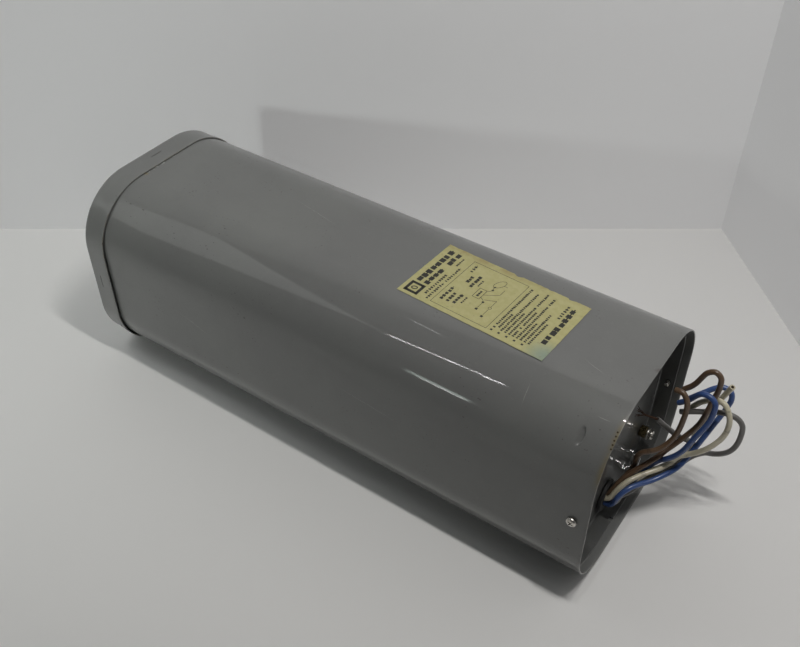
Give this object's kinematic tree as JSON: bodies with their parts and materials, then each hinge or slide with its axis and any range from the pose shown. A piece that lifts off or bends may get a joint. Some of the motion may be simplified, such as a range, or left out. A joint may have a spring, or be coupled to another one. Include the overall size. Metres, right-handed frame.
{
  "type": "lamp ballast",
  "caption": "Ballast for a high-intensity discharge lamp in a rounded-square steel tube, with a slip-on end cap, a recessed lead plate and flying leads through a grommet.",
  "frame": {"origin": "centre of the case's flat back face, on the plane it lies on; the centre is half-way along the case without its leads", "axes": "+X along the case towards the open end with the leads; +Z out of the face with the label; the back face lies on the plane z = 0; +Y towards the earth terminal side"},
  "size_m": [0.5417, 0.1758, 0.1724],
  "materials": {
    "grey_enamel": "semi-gloss grey stoving enamel, scratched, with rust at the rim",
    "zinc_plate": "bright zinc plate, lightly aged",
    "core_steel": "laminated silicon steel, varnished",
    "black_sheet": "black lacquered sheet steel",
    "black_rubber": "matte black",
    "brass": "turned, dull",
    "label_film": "yellowed film, brown at the edges",
    "brown_sleeving": "satin brown PVC",
    "blue_sleeving": "satin blue PVC",
    "white_sleeving": "satin off-white PVC",
    "grey_sleeving": "satin grey PVC",
    "bare_copper": "bare stranded copper",
    "lacquered_copper": "lacquered winding",
    "pressboard": "tan pressboard",
    "can_aluminium": "drawn aluminium can",
    "lid_laminate": "brown laminate with tinned tabs",
    "resistor_body": "glazed body"
  },
  "bodies": {
    "case": {"case_sleeve": "grey_enamel", "lead_plate": "grey_enamel", "rubber_grommet": "black_rubber", "earth_post": "brass", "wire_clip": "zinc_plate", "rating_label": "label_film", "brown_lead_a": "brown_sleeving", "brown_lead_b": "brown_sleeving", "blue_lead_a": "blue_sleeving", "blue_lead_b": "blue_sleeving", "white_lead_a": "white_sleeving", "white_lead_b": "white_sleeving", "grey_lead_a": "grey_sleeving", "grey_lead_b": "grey_sleeving", "copper_strands": "bare_copper", "core_e_stack": "core_steel", "core_i_stack": "core_steel", "core_gap_spacer": "pressboard", "primary_former": "pressboard", "primary_winding": "lacquered_copper", "secondary_former": "pressboard", "secondary_winding": "lacquered_copper", "shunt_near": "core_steel", "shunt_far": "core_steel", "clamp_angle_cap_upper": "black_sheet", "clamp_angle_cap_lower": "black_sheet", "clamp_angle_lead_upper": "black_sheet", "clamp_angle_lead_lower": "black_sheet", "core_foot_cap": "black_sheet", "core_foot_lead": "black_sheet", "insulating_liner": "pressboard", "capacitor_can_near": "can_aluminium", "capacitor_can_far": "can_aluminium", "capacitor_lid_near": "lid_laminate", "capacitor_lid_far": "lid_laminate", "capacitor_strap": "zinc_plate", "capacitor_shelf": "black_sheet", "discharge_resistor": "resistor_body", "core_bolt_cap_near": "zinc_plate", "core_bolt_cap_far": "zinc_plate", "core_bolt_lead_near": "zinc_plate", "core_bolt_lead_far": "zinc_plate", "core_nut_cap_near": "zinc_plate", "core_nut_cap_far": "zinc_plate", "core_nut_lead_near": "zinc_plate", "core_nut_lead_far": "zinc_plate"},
    "end_cap": {"end_cap": "grey_enamel"},
    "side_screw_near": {"side_screw_near": "zinc_plate"},
    "side_screw_far": {"side_screw_far": "zinc_plate"},
    "earth_screw": {"earth_screw": "zinc_plate", "earth_cup_washer": "zinc_plate"}
  },
  "joints": [
    {"name": "cap_slide", "type": "slide", "parent": "case", "child": "end_cap", "axis": [-1, 0, 0], "range_m": [0, 0.03]},
    {"name": "near_screw_slide", "type": "slide", "parent": "case", "child": "side_screw_near", "axis": [0, -1, 0], "range_m": [0, 0.008]},
    {"name": "far_screw_slide", "type": "slide", "parent": "case", "child": "side_screw_far", "axis": [0, 1, 0], "range_m": [0, 0.008]},
    {"name": "earth_screw_slide", "type": "slide", "parent": "case", "child": "earth_screw", "axis": [1, 0, 0], "range_m": [0, 0.003]}
  ]
}
